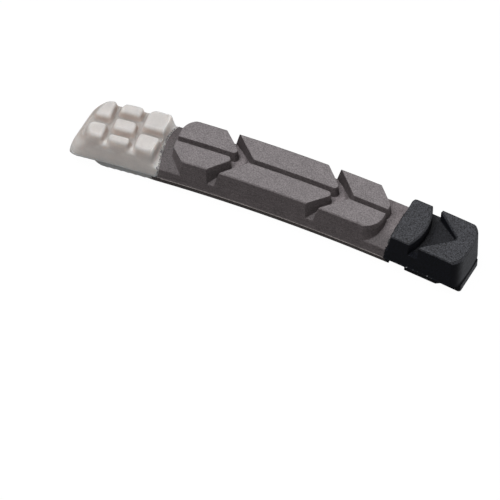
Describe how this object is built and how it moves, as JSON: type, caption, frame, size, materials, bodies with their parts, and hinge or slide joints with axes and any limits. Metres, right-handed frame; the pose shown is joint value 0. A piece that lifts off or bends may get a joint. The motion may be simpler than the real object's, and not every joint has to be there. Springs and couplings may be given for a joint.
{
  "type": "bicycle rim brake pad",
  "caption": "Curved rubber insert for a bicycle rim brake shoe, with a pale tip, taupe middle and black end, chevron-grooved friction face, back rail and pin notch.",
  "frame": {"origin": "on the middle line of the pad at half its length, on the back face of the rail", "axes": "+X along the pad from the white tip to the black end, +Y across it to the convex side, +Z from the rail's back to the friction face"},
  "size_m": [0.0718, 0.0121, 0.0088],
  "materials": {
    "tip_rubber": "matte, slightly translucent",
    "main_rubber": "matte",
    "lug_rubber": "matte"
  },
  "bodies": {
    "root": {"tip_rubber": "tip_rubber", "main_rubber": "main_rubber", "lug_rubber": "lug_rubber"}
  },
  "joints": []
}
